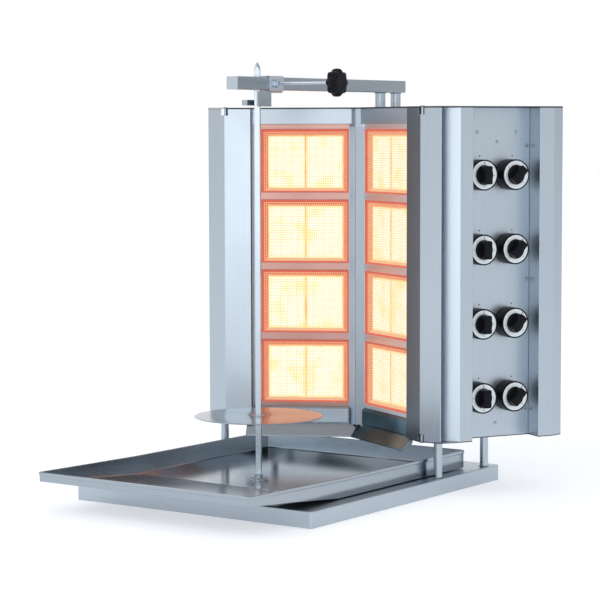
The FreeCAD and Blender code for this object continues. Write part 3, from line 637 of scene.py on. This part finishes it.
# The rest of the CAD nodes are bright steel, and the tap knobs plastic
NODE_FINISHES = {
    "cabinet steel": ("cabinet_top", "cabinet_floor", "cabinet_back", "end_panel_left", "control_panel",
                      "guard_rear"),
    "guard steel": ("guard_front",),
    "left wing steel": ("wing_left",),
    "right wing steel": ("wing_right",),
    "apron steel": ("apron_left",),
    "scorched steel": ("apron_right",),
    "left bank steel": ("bank_frame_left",),
    "right bank steel": ("bank_frame_right",),
    "base steel": ("base_pan", "base_bottom"),
    "tray steel": ("drip_tray",),
    "arm steel": ("arm_tube",),
    "polished steel": ("arm_caps", "arm_sleeve"),
    "mirror plate": ("meat_disc",),
    "slide plastic": ("slide_strips",),
    "gas brass": ("gas_manifold", "gas_valves", "gas_pipes"),
    "hopper steel": ("burner_cases_left", "burner_cases_right"),
    "glowing ceramic": ("tiles_left", "tiles_right"),
    "hot wire": ("wire_guard_left", "wire_guard_right"),
    "knob plastic": ("clamp_knob",),
}


# Settings

def colour_setting(name, description, default):
    """A colour in the panel."""
    return bpy.props.FloatVectorProperty(name=name, description=description, subtype="COLOR", size=3,
                                         min=0.0, max=1.0, default=default)


def number_setting(name, description, default, **rest):
    """A number in the panel."""
    return bpy.props.FloatProperty(name=name, description=description, default=default, **rest)


class GrillLooks(bpy.types.PropertyGroup):
    """Colours and strengths that a user would change."""
    steel: colour_setting("Steel", "Colour of the brushed sheet", (0.484, 0.547, 0.612))
    glow_lit_steel: colour_setting("Steel by the burners", "Colour of the sheet between the left burners",
                               (0.46, 0.2, 0.14))
    black: colour_setting("Knobs", "Colour of the knobs", (0.007, 0.008, 0.011))
    dial: colour_setting("Dials", "Colour of the printed rings", (0.84, 0.89, 0.95))
    glow: colour_setting("Glow", "Colour in the middle of a plate", (1.0, 0.98, 0.84))
    glow_rim: colour_setting("Glow border", "Colour at the border of a plate", (0.85, 0.25, 0.07))
    glow_lent: colour_setting("Mirrored glow", "Colour of a plate seen in the steel", (0.8, 0.335, 0.25))
    red_heat_and_plate_light: colour_setting("Red heat and plate light", "Glow of the sheet round the plates", (0.93, 0.2, 0.15))
    wire_heat: colour_setting("Wire heat", "Glow of the wire guard", (1.0, 0.78, 0.42))
    glow_strength: number_setting("Plate glow", "Strength of the plates' light", 1.15, min=0.0, max=5.0)
    hopper_glow: number_setting("Sheet glow", "Strength of the red heat and plate light", 0.6, min=0.0, max=5.0)
    wire_glow: number_setting("Wire glow", "Strength of the wires' light", 0.78, min=0.0, max=5.0)


class GrillSizes(bpy.types.PropertyGroup):
    """Sizes of the fine pieces, in millimetres."""
    mesh_pitch: number_setting("Wire pitch", "Distance between the guard's wires", 5.3, min=2.0, max=20.0)
    wire: number_setting("Wire", "Thickness of the guard's wires", 1.0, min=0.2, max=2.0)
    skirt: number_setting("Knob radius", "Outside radius of a knob", 34.0)
    grip: number_setting("Grip height", "Height of a knob's grip above its dial", 20.0)
    lens: number_setting("Lens", "Focal length", 2173.69 / 600 * 36, subtype="DISTANCE_CAMERA")


# Operators

class GRILL_OT_frame_finishes(bpy.types.Operator):
    """Gives every CAD node its finish"""
    bl_idname = "grill.frame_finishes"
    bl_label = "Frame finishes"

    def execute(self, context):
        named = {node: key for key, nodes in NODE_FINISHES.items() for node in nodes}
        for node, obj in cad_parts.items():
            key = named.get(node, "knob plastic" if node.startswith("knob") else "bright steel")
            for slot in obj.material_slots:
                slot.material = finish(key)
        return {"FINISHED"}


class GRILL_OT_wire_guards(bpy.types.Operator):
    """Weaves the wire guards in front of the plates"""
    bl_idname = "grill.wire_guards"
    bl_label = "Wire guards"

    def execute(self, context):
        sizes = context.scene.grill_sizes
        start, end = WEAVE_S
        height = WEAVE_ABOVE + GLOW_HEIGHT + WEAVE_BELOW
        s = np.linspace(start, end, 1 + round((end - start) / sizes.mesh_pitch))
        down = np.linspace(-WEAVE_ABOVE, GLOW_HEIGHT + WEAVE_BELOW, 1 + round(height / sizes.mesh_pitch))
        for side, name in ((1, "right"), (-1, "left")):
            parts = []
            for row in range(ROWS):
                z = GLOW_TOP - ROW_PITCH * row - down
                for upright in (True, False):
                    parts += self.wires(side, s, z, sizes.wire, upright)
            guard = place("woven_guard_" + name, joined(parts), "hot wire", "frame", merge=False)
            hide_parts("wire_guard_" + name)
        return {"FINISHED"}

    @staticmethod
    def wires(side, s, z, wire, upright):
        """Wire i at crossing j stands wire/2 times (-1)^(i+j) out of the plane, the other family the other
        way, with a four-sided ring of radius wire/2 about each crossing."""
        i, j = np.meshgrid(np.arange(len(s)), np.arange(len(z)), indexing="ij")
        out_of_plane = wire * 0.5 if upright else -wire * 0.5
        wave = np.where((i + j) % 2 == 0, 1.0, -1.0) * out_of_plane
        centre = np.stack([s[i], WEAVE_T + wave, z[j]], axis=-1)
        if not upright:
            centre = centre.transpose(1, 0, 2)
        across = np.array([1.0, 0, 0]) if upright else np.array([0, 0, 1.0])
        a = np.arange(4) * np.pi / 2
        ring = wire / 2 * (np.cos(a)[:, None] * across + np.sin(a)[:, None] * np.array([0, 1.0, 0]))
        grid = centre[:, :, None, :] + ring
        return [sheet(bank_points(side, *np.moveaxis(line, -1, 0)), wrap_cols=True) for line in grid]


class GRILL_OT_tap_knobs(bpy.types.Operator):
    """Makes the eight tap knobs with their printed dials"""
    bl_idname = "grill.tap_knobs"
    bl_label = "Tap knobs"

    def execute(self, context):
        sizes = context.scene.grill_sizes
        body = joined([self.skirt(sizes.skirt), self.grip(GRIP_START, GRIP_ZERO + sizes.grip)])
        dial = self.dial()
        marks = joined(self.marks())
        for letter in "ab":
            for row in range(ROWS):
                name = letter + str(row + 1)
                m = knob_matrix(letter, row)
                knob = place("tap_knob_" + name, moved(body, m), "knob plastic", "knob_" + name,
                             angle=40)
                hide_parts("knob_" + name)
                place("tap_dial_" + name, moved(dial, m), "dial print", "knob_" + name)
                place("tap_marks_" + name, moved(marks, m), "dial marks", "knob_" + name)
        return {"FINISHED"}

    @staticmethod
    def skirt(radius):
        """A cup turned about the stem, with every corner rounded: hub and bore below, dial seat and the
        grip's foot above."""
        bore, hub, foot, wall = 4.1, 11.0, 4.3, 3.0
        seat, seat_z, grip_foot = 21.7, 32.8, 35.0
        profile = [(bore, foot), (hub, foot), (hub, 24), (radius - wall, 24), (radius - wall, foot),
                   (radius - 0.4, foot), (radius, 6.5), (radius, KNOB_FACE), (radius - 2.0, KNOB_FACE),
                   (radius - 2.4, seat_z), (seat, seat_z), (seat - 0.5, grip_foot), (0, grip_foot),
                   (0, 28), (bore, 28), (bore, foot)]
        return lathe(rounded(profile, 0.7), 72)

    @staticmethod
    def grip(low, high):
        """Cross-sections x = w sgn(cos a)|cos a|^k (0.86 + 0.14 (y/l)^2), y = l sgn(sin a)|sin a|^k with
        k = 0.3, dished at the fingers, which narrow as they rise and close over a rounded top."""
        a = np.linspace(0, 2 * np.pi, 72, endpoint=False)
        levels = np.array([(10.6, 20.4, 0), (10.5, 20.4, 0.3), (10.2, 20.2, 0.75), (10.0, 20.0, 0.92),
                           (9.6, 19.6, 0.98), (8.8, 18.8, 1.0), (0, 0, 1.0)])
        w, l, h = (levels[:, k][:, None] for k in range(3))
        y = np.sign(np.sin(a)) * np.abs(np.sin(a)) ** 0.3 * np.ones_like(w)
        dish = 0.86 + 0.14 * y ** 2
        x = w * dish * np.sign(np.cos(a)) * np.abs(np.cos(a)) ** 0.3
        z = low + (high - low) * np.broadcast_to(h, x.shape)
        return sheet(np.stack([x, l * y, z], axis=-1), wrap_cols=True)

    @staticmethod
    def dial():
        """A flat ring with rounded edges: the lathe of a rectangle."""
        inner, outer, low, high = 21.8, 31.0, 32.4, 33.3
        section = [(inner, low), (inner, high), (outer, high), (outer, low), (inner, low)]
        return lathe(rounded(section, 0.3), 72)

    @staticmethod
    def marks():
        """Strokes on the dial, each a thin box of rays from r0 to r1 over a few angles: a long one for off
        at the top, and a short one each for high, low and the bottom."""
        def stroke(middle, half, inner, outer):
            a = np.radians(np.linspace(middle - half, middle + half, 4))[:, None]
            r = np.array([[inner, outer]]) * np.ones_like(a)
            top = np.stack([r * np.cos(a), r * np.sin(a), np.full_like(r, MARK_FACE)], axis=-1)
            low = top - np.array([0, 0, 0.3])
            return sheet(np.concatenate([top, low[:, ::-1]], axis=1), wrap_cols=True)
        return [stroke(90, 1.5, 23.5, 30.0)] + [stroke(angle, 1.2, 24.0, 27.0) for angle in (-2, 178, 270)]


class GRILL_OT_clamp_knob(bpy.types.Operator):
    """Makes the lobed knob of the guide's clamp"""
    bl_idname = "grill.clamp_knob"
    bl_label = "Clamp knob"

    def execute(self, context):
        """Radius r (1 - 0.085 k(r) (1 - cos 8a)) about the screw, where k fades the lobes towards the hub;
        a bore for the screw closes it behind."""
        profile = rounded([(3.9, -1.6), (9.6, -1.6), (10.6, 0.2), (23, 0.4), (28.2, 2.6), (29.8, 7),
                           (29.8, 18), (27.8, 23.2), (21, 25.6), (12, 25.9), (0, 25.2)], 2.0)
        bore, bore_depth = 3.9, 8.2
        a = np.linspace(0, 2 * np.pi, 128, endpoint=False)
        r, h = profile[:, 0][:, None], profile[:, 1][:, None]
        lobes = np.clip((r - 12) / 16, 0, 1) ** 1.5
        outside = self.rings(h, r * (1 - 0.085 * lobes * (1 - np.cos(8 * a))), a)
        inside = self.rings(np.full((2, 1), bore_depth), np.array([[0.0], [bore]]), a)
        star = sheet(np.concatenate([inside, outside], axis=0), wrap_cols=True)
        knob = place("clamp_star", star, "knob plastic", "clamp_knob", angle=50)
        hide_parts("clamp_knob")
        return {"FINISHED"}

    @staticmethod
    def rings(depth, radius, a):
        """Circles (x0 + depth, y0 + r sin a, z0 + r cos a) about the clamp's screw."""
        return np.stack([CLAMP_X + depth + 0 * a, CLAMP_Y + radius * np.sin(a),
                         CLAMP_Z + radius * np.cos(a)], axis=-1)


class GRILL_OT_drip_tray(bpy.types.Operator):
    """Folds the drip tray from one sheet with soft bends and a hemmed rim"""
    bl_idname = "grill.drip_tray"
    bl_label = "Drip tray"

    def execute(self, context):
        """A section carried round the right half of the plan and mirrored: each of its points is an offset
        out of the wall line and a height over the floor, or from the rim where it is marked so."""
        half, back, fold, front = 274.5, 280.0, -222.0, -538.0
        corner = 5.0
        floor_heights = [37.2, 37.2, 64.7]
        rim_heights = [77.0, 79.0, 85.0]
        thick, hem, at_rim = 1.5, 7.0, 1e3
        a = np.linspace(0, np.pi / 2, 7)
        plan = [(0.0, back)]
        plan += [(half - corner + corner * math.sin(k), back - corner + corner * math.cos(k)) for k in a]
        plan += [(half, y) for y in (0.0, fold + 14, fold + 7, fold, fold - 7, fold - 14, -400.0)]
        plan += [(half - corner + corner * math.cos(k), front + corner - corner * math.sin(k)) for k in a]
        plan += [(0.0, front)]
        plan = np.array(plan)
        tangent = np.gradient(plan, axis=0)
        tangent /= np.linalg.norm(tangent, axis=1)[:, None]
        normal = np.stack([-tangent[:, 1], tangent[:, 0]], axis=1)
        outward = plan - np.array([0, -100.0])
        normal *= np.sign((normal * outward).sum(axis=1))[:, None]
        y = plan[:, 1]
        low = np.interp(-y, [-back, -fold, -front], floor_heights)
        rim = np.interp(-y, [-back, -fold, -front], rim_heights)
        section = rounded([(-6.0, 0), (0, 0), (0, at_rim - hem), (thick, at_rim - hem), (thick, at_rim),
                           (-thick, at_rim), (-thick, thick), (-6.0, thick)], 1.4, 5)
        offset, height = section[:, 0], section[:, 1]
        x = plan[:, 0][:, None] + normal[:, 0][:, None] * offset
        yy = plan[:, 1][:, None] + normal[:, 1][:, None] * offset
        z = np.where(height > at_rim / 2, rim[:, None] + height - at_rim, low[:, None] + height)
        loop = np.stack([x, yy, z], axis=-1)
        loop[0, :, 0] = loop[-1, :, 0] = 0.0
        mirror = loop * np.array([-1.0, 1.0, 1.0])
        parts = [sheet(loop), sheet(mirror)]
        parts += [sheet(np.stack([mirror[:, k], loop[:, k]], axis=1)) for k in (0, -1)]
        tray = place("tray_sheet", joined(parts), "tray steel", "tray", angle=30)
        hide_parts("drip_tray")
        return {"FINISHED"}


class GRILL_OT_rods(bpy.types.Operator):
    """Turns the posts and the meat plate, with the posts' weld beads"""
    bl_idname = "grill.rods"
    bl_label = "Posts and plate"

    def execute(self, context):
        posts, beads = [], []
        for x in POST_X:
            for y in POST_Y:
                posts.append(self.at(bar(POST_R, BASE_TOP, CABINET_UNDERSIDE, 40), x, y))
                for z, way in ((BASE_TOP, 1), (CABINET_UNDERSIDE, -1)):
                    beads.append(self.at(self.bead(POST_R, z, way), x, y))
        post = place("posts_round", joined(posts), "bright steel", "frame")
        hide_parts("support_posts")
        arms = []
        for y in ARM_POST_Y:
            arms.append(self.at(bar(ARM_POST_R, FLOOR_PLATE_TOP, ARM_UNDERSIDE, 48), 0, y))
            for z, way in ((ARM_UNDERSIDE, -1), (CABINET_TOP, 1)):
                beads.append(self.at(self.bead(ARM_POST_R, z, way), 0, y))
        arm = place("arm_posts_round", joined(arms), "bright steel", "frame")
        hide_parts("arm_posts")
        place("weld_beads", joined(beads), "weld", "frame", angle=60)
        hole, edge, low, high = 11.2, 138.6, 178, 180
        section = [(hole, low), (edge, low), (140, 179), (edge, high), (hole, high), (hole, low)]
        disc = lathe(rounded(section, 0.6), 128)
        plate = place("meat_plate", self.at(disc, 0, SPIT_Y), "mirror plate", "spit")
        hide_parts("meat_disc")
        return {"FINISHED"}

    @staticmethod
    def at(part, x, y):
        """A part moved to a place in the plan."""
        verts, faces = part
        return verts + np.array([x, y, 0.0]), faces

    @staticmethod
    def bead(radius, z, way):
        """A ring of weld of section radius b(a) = 1.5 + 0.25 sin 17a in the corner of post and sheet."""
        a = np.linspace(0, 2 * np.pi, 96, endpoint=False)[:, None]
        v = np.linspace(0, 2 * np.pi, 8, endpoint=False)[None, :]
        b = 1.5 + 0.25 * np.sin(17 * a)
        r = radius + 0.4 + b * np.cos(v)
        h = z + way * 0.3 + way * np.abs(b * np.sin(v)) * np.where(np.sin(v) > 0, 1.0, -0.1)
        return sheet(np.stack([r * np.cos(a), r * np.sin(a), h], axis=-1), wrap_rows=True, wrap_cols=True)


class GRILL_OT_screws(bpy.types.Operator):
    """Makes the panel's cross-recessed screws and the printed marks over the knobs"""
    bl_idname = "grill.screws"
    bl_label = "Screws and marks"

    def execute(self, context):
        heads = [moved(self.head(), on_panel(t, z)) for t, z in PANEL_SCREWS]
        for z in GUARD_SCREW_HEIGHTS:
            on_wall = standing(((1, 0, 0), (0, 0, 1), (0, -1, 0)), (GUARD_WALL_S, GUARD_WALL_T, z))
            heads.append(moved(self.head(), on_wall))
        spot = bar(1.7, 0.0, 0.12, 20)
        marks = [moved(spot, on_panel(t, KNOB_TOP - KNOB_PITCH * row + MARK_ABOVE))
                 for row in range(ROWS) for t in MARK_T]
        screws = place("panel_screw_heads", joined(heads), "bright steel", "frame", angle=30)
        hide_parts("panel_screws")
        place("panel_marks", joined(marks), "dial marks", "frame")
        return {"FINISHED"}

    @staticmethod
    def head():
        """A dome z = 1.9 (1 - (r/3.8)^2)^0.5 with a cross 0.9 deep where |x| or |y| is under 0.55."""
        r = np.linspace(0, 3.8, 16)[:, None]
        a = np.linspace(0, 2 * np.pi, 48, endpoint=False)[None, :]
        x, y = r * np.cos(a), r * np.sin(a)
        dome = 1.9 * np.sqrt(np.clip(1 - (r / 3.8) ** 2, 0, 1)) + 0 * a
        cross = ((np.abs(x) < 0.55) | (np.abs(y) < 0.55)) & (r + 0 * a < 2.2)
        top = np.stack([x, y, dome - 0.9 * cross], axis=-1)
        return sheet(np.concatenate([top, np.zeros_like(top[:1])], axis=0), wrap_cols=True)


class GRILL_OT_stage(bpy.types.Operator):
    """Sets the floor, the soft lights and the camera"""
    bl_idname = "grill.stage"
    bl_label = "Stage"

    def execute(self, context):
        self.floor()
        self.world()
        self.lights()
        self.camera(context)
        context.scene.view_settings.view_transform = "Standard"
        return {"FINISHED"}

    @staticmethod
    def seen(tree, path):
        """1 for the rays that show the background: straight, mirrored or through glass."""
        mirrored = calc(tree, "MAXIMUM", path["Is Glossy Ray"], path["Is Transmission Ray"])
        return calc(tree, "MAXIMUM", path["Is Camera Ray"], mirrored)

    def floor(self):
        """A disc of 2 m radius inside a ring out to 30 m, a hair under the base."""
        a = np.linspace(0, 2 * np.pi, 96, endpoint=False)
        r = np.array([2000.0, 30000.0])[:, None]
        points = np.stack([r * np.cos(a), r * np.sin(a), np.full((2, 96), -0.6)], axis=-1)
        verts, faces = sheet(points, wrap_cols=True)
        mesh = bpy.data.meshes.new("floor")
        mesh.from_pydata((verts * MM).tolist(), [], faces.tolist() + [list(range(96))[::-1]])
        obj = bpy.data.objects.new("floor", mesh)
        bpy.context.scene.collection.objects.link(obj)
        material, tree, shader, where = new_material("white floor")
        speckle = noise_at(tree, where, Scale=3.0)
        pale = ramp(tree, speckle, [(0.0, (0.84, 0.85, 0.86)), (1.0, (0.86, 0.86, 0.87))])
        shader.inputs["Roughness"].default_value = 0.9
        shader.inputs["Specular IOR Level"].default_value = 0.1
        shader.inputs["Emission Color"].default_value = (1.0, 1.0, 1.0, 1.0)
        shown = self.seen(tree, add(tree, "ShaderNodeLightPath").outputs)
        give(tree, shader, Base_Color=pale, Emission_Strength=calc(tree, "MULTIPLY", shown, 0.46))
        mesh.materials.append(material)

    def world(self):
        """Soft light on the object, and a white background that the metal mirrors dimmer towards the back
        right, the left and the ceiling: each falls by power (d - start)^2, with d the way's share of it."""
        world = bpy.data.worlds.new("studio")
        bpy.context.scene.world = world
        world.use_nodes = True
        tree = world.node_tree
        tree.nodes.clear()
        path = add(tree, "ShaderNodeLightPath").outputs
        way = add(tree, "ShaderNodeTexCoord").outputs["Generated"]
        dimmer = 1.0
        for facing, start, power in (((0.62, 0.78, 0.0), 0.3, 0.8), ((-0.9, -0.44, 0.0), 0.3, 0.45),
                                     ((0.0, 0.0, 1.0), 0.1, 0.5)):
            share = add(tree, "ShaderNodeVectorMath", operation="DOT_PRODUCT")
            tree.links.new(way, share.inputs[0])
            share.inputs[1].default_value = facing
            toward = calc(tree, "SUBTRACT", share.outputs["Value"], start, clamp=True)
            fall = calc(tree, "MULTIPLY", calc(tree, "MULTIPLY", toward, toward), power)
            dimmer = calc(tree, "SUBTRACT", dimmer, fall)
        soft = add(tree, "ShaderNodeBackground", Color=(0.9, 0.95, 1.0, 1.0), Strength=0.72)
        white = add(tree, "ShaderNodeBackground", Color=(1.0, 1.0, 1.0, 1.0))
        give(tree, white, Strength=calc(tree, "MAXIMUM", dimmer, path["Is Camera Ray"]))
        mixer = add(tree, "ShaderNodeMixShader")
        tree.links.new(self.seen(tree, path), mixer.inputs[0])
        tree.links.new(soft.outputs[0], mixer.inputs[1])
        tree.links.new(white.outputs[0], mixer.inputs[2])
        tree.links.new(mixer.outputs[0], add(tree, "ShaderNodeOutputWorld").inputs[0])

    @staticmethod
    def lights():
        """Two round lamps, low at the right and high at the left, aimed at the middle of the grill."""
        target = Vector((0.0, 0.1, 0.45))
        for name, where, size, power in (("key", (1.45, -3.9, 0.8), 1.5, 8.0),
                                         ("fill", (-2.6, -3.0, 3.4), 2.4, 26.0)):
            lamp = bpy.data.lights.new(name, "AREA")
            lamp.shape = "DISK"
            lamp.size = size
            lamp.energy = power
            obj = bpy.data.objects.new(name, lamp)
            obj.rotation_euler = (target - Vector(where)).to_track_quat("-Z", "Y").to_euler()
            obj.location = where
            bpy.context.scene.collection.objects.link(obj)

    @staticmethod
    def camera(context):
        """The photograph's viewing angle, solved from the edges of the cabinet, base and tray."""
        lens = bpy.data.cameras.new("camera")
        lens.sensor_width = 36.0
        lens.lens = context.scene.grill_sizes.lens
        lens.clip_end = 100.0
        stand = Matrix.Translation((2.78223, -3.91173, 0.80503))
        turn = Matrix.Rotation(0.61512, 4, "Z")
        tilt = Matrix.Rotation(math.pi / 2 - 0.07935, 4, "X")
        roll = Matrix.Rotation(-0.00222, 4, "Z")
        obj = bpy.data.objects.new("camera", lens)
        obj.matrix_world = stand @ turn @ tilt @ roll
        context.scene.collection.objects.link(obj)
        context.scene.camera = obj


class GRILL_PT_panel(bpy.types.Panel):
    """Lists the grill's settings and steps"""
    bl_idname = "GRILL_PT_panel"
    bl_label = "Gas doner grill"
    bl_space_type = "VIEW_3D"
    bl_region_type = "UI"
    bl_category = "Grill"

    def draw(self, context):
        column = self.layout.column()
        for settings in (context.scene.grill_looks, context.scene.grill_sizes):
            for key in settings.__annotations__:
                column.prop(settings, key)
        for step in STEPS:
            column.operator(step.bl_idname)


STEPS = (GRILL_OT_frame_finishes, GRILL_OT_wire_guards, GRILL_OT_tap_knobs, GRILL_OT_clamp_knob,
         GRILL_OT_drip_tray, GRILL_OT_rods, GRILL_OT_screws, GRILL_OT_stage)
CLASSES = (GrillLooks, GrillSizes, *STEPS, GRILL_PT_panel)


def register():
    for kind in CLASSES:
        bpy.utils.register_class(kind)
    bpy.types.Scene.grill_looks = bpy.props.PointerProperty(type=GrillLooks)
    bpy.types.Scene.grill_sizes = bpy.props.PointerProperty(type=GrillSizes)


def unregister():
    del bpy.types.Scene.grill_sizes
    del bpy.types.Scene.grill_looks
    for kind in reversed(CLASSES):
        bpy.utils.unregister_class(kind)


def main():
    register()
    bpy.ops.grill.frame_finishes()
    bpy.ops.grill.wire_guards()
    bpy.ops.grill.tap_knobs()
    bpy.ops.grill.clamp_knob()
    bpy.ops.grill.drip_tray()
    bpy.ops.grill.rods()
    bpy.ops.grill.screws()
    bpy.ops.grill.stage()


if __name__ == "__main__":
    main()
